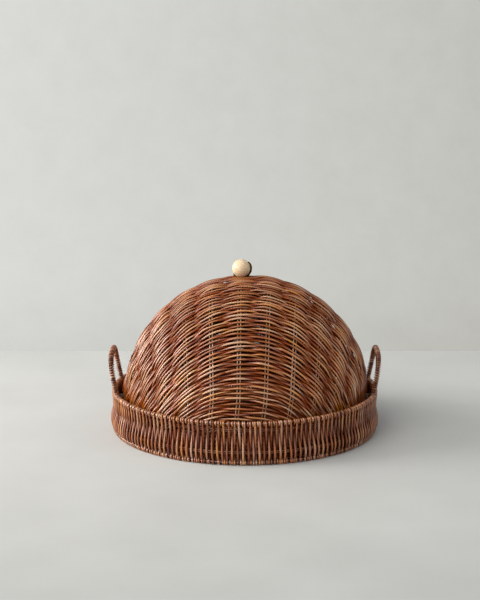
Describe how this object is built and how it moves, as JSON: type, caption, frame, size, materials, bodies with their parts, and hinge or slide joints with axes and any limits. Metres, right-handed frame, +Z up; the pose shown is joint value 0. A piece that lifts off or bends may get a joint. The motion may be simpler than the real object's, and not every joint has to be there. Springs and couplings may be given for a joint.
{
  "type": "domed wicker serving basket",
  "caption": "Round wicker serving tray with bound arch handles and a domed roll-top cover whose front hood turns back over the rear hood by a wooden bead knob.",
  "frame": {"origin": "on the surface that the basket stands on, below the middle of the round tray", "axes": "+Z up, -Y towards the front of the roll-top hood, +X along the hood's pivot axis towards the right-hand handle"},
  "size_m": [0.3804, 0.377, 0.2387],
  "materials": {
    "cane": "stained cane strands with a satin lacquer",
    "pale_cane": "paler cane rods with a satin lacquer",
    "dark_cane": "darker cane rods with a satin lacquer",
    "bead_wood": "smooth turned pale wood",
    "knob_cord": "dark twisted cord"
  },
  "bodies": {
    "tray": {"tray_base_hoop": "dark_cane", "tray_floor": "cane", "tray_wall_weave": "cane", "tray_lower_hoop": "pale_cane", "tray_upper_hoop": "pale_cane", "tray_rim_hoop": "dark_cane", "handle_left_core": "dark_cane", "handle_left_binding": "cane", "handle_right_core": "dark_cane", "handle_right_binding": "cane", "pivot_peg_left": "dark_cane", "pivot_peg_right": "dark_cane", "rear_hood_bottom_hoop": "dark_cane", "rear_hood_top_hoop": "dark_cane", "rear_hood_stake_1": "pale_cane", "rear_hood_stake_2": "pale_cane", "rear_hood_stake_3": "pale_cane", "rear_hood_stake_4": "pale_cane", "rear_hood_stake_5": "pale_cane", "rear_hood_stake_6": "pale_cane", "rear_hood_stake_7": "pale_cane", "rear_hood_stake_8": "pale_cane", "rear_hood_stake_9": "pale_cane", "rear_hood_stake_10": "pale_cane", "rear_hood_stake_11": "pale_cane", "rear_hood_weave": "cane"},
    "front_hood": {"front_hood_bottom_hoop": "dark_cane", "front_hood_top_hoop": "dark_cane", "front_hood_stake_1": "pale_cane", "front_hood_stake_2": "pale_cane", "front_hood_stake_3": "pale_cane", "front_hood_stake_4": "pale_cane", "front_hood_stake_5": "pale_cane", "front_hood_stake_6": "pale_cane", "front_hood_stake_7": "pale_cane", "front_hood_stake_8": "pale_cane", "front_hood_stake_9": "pale_cane", "front_hood_stake_10": "pale_cane", "front_hood_stake_11": "pale_cane", "front_hood_weave": "cane", "knob_bead": "bead_wood", "knob_cord": "knob_cord"}
  },
  "joints": [
    {"name": "hood_roll", "type": "hinge", "parent": "tray", "child": "front_hood", "pos_m": [0, 0, 0.04], "axis": [-1, 0, 0], "range_deg": [0, 75]}
  ]
}
